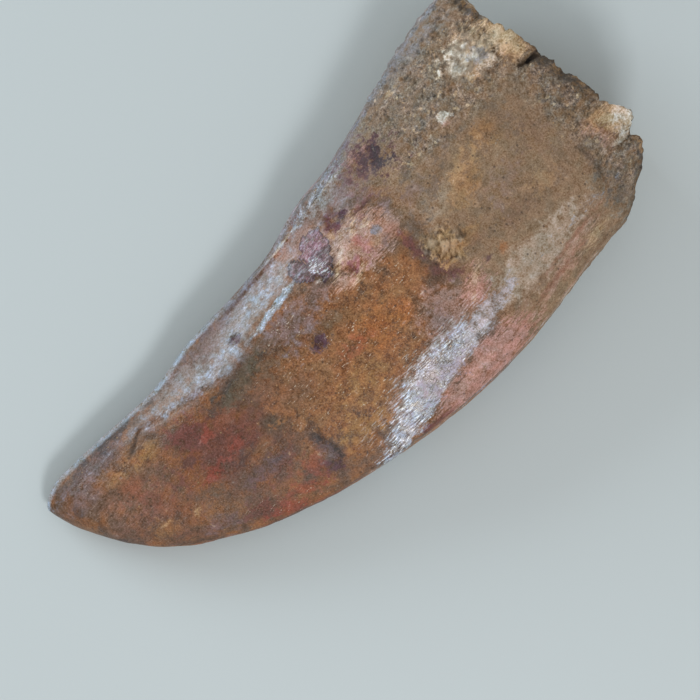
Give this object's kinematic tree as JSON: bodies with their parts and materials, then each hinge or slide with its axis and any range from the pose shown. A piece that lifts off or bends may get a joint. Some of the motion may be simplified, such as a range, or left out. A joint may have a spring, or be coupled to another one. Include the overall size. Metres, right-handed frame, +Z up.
{
  "type": "fossil dinosaur tooth",
  "caption": "Curved blade-shaped fossil tooth of a meat-eating dinosaur with a broken root stump, lying on its side as a specimen to show or handle.",
  "frame": {"origin": "middle of the tooth's box in plan, on the ground that it lies on", "axes": "+X from the tip to the broken root end, +Y towards the concave rear edge, +Z up out of the upper side of the blade"},
  "size_m": [0.0798, 0.036, 0.0143],
  "materials": {
    "fossil": "glossy stained enamel on the crown, ochre, red-brown and amber, with grey sheen on the flanks, and a duller tan granular root"
  },
  "bodies": {
    "root": {"tooth": "fossil"}
  },
  "joints": []
}
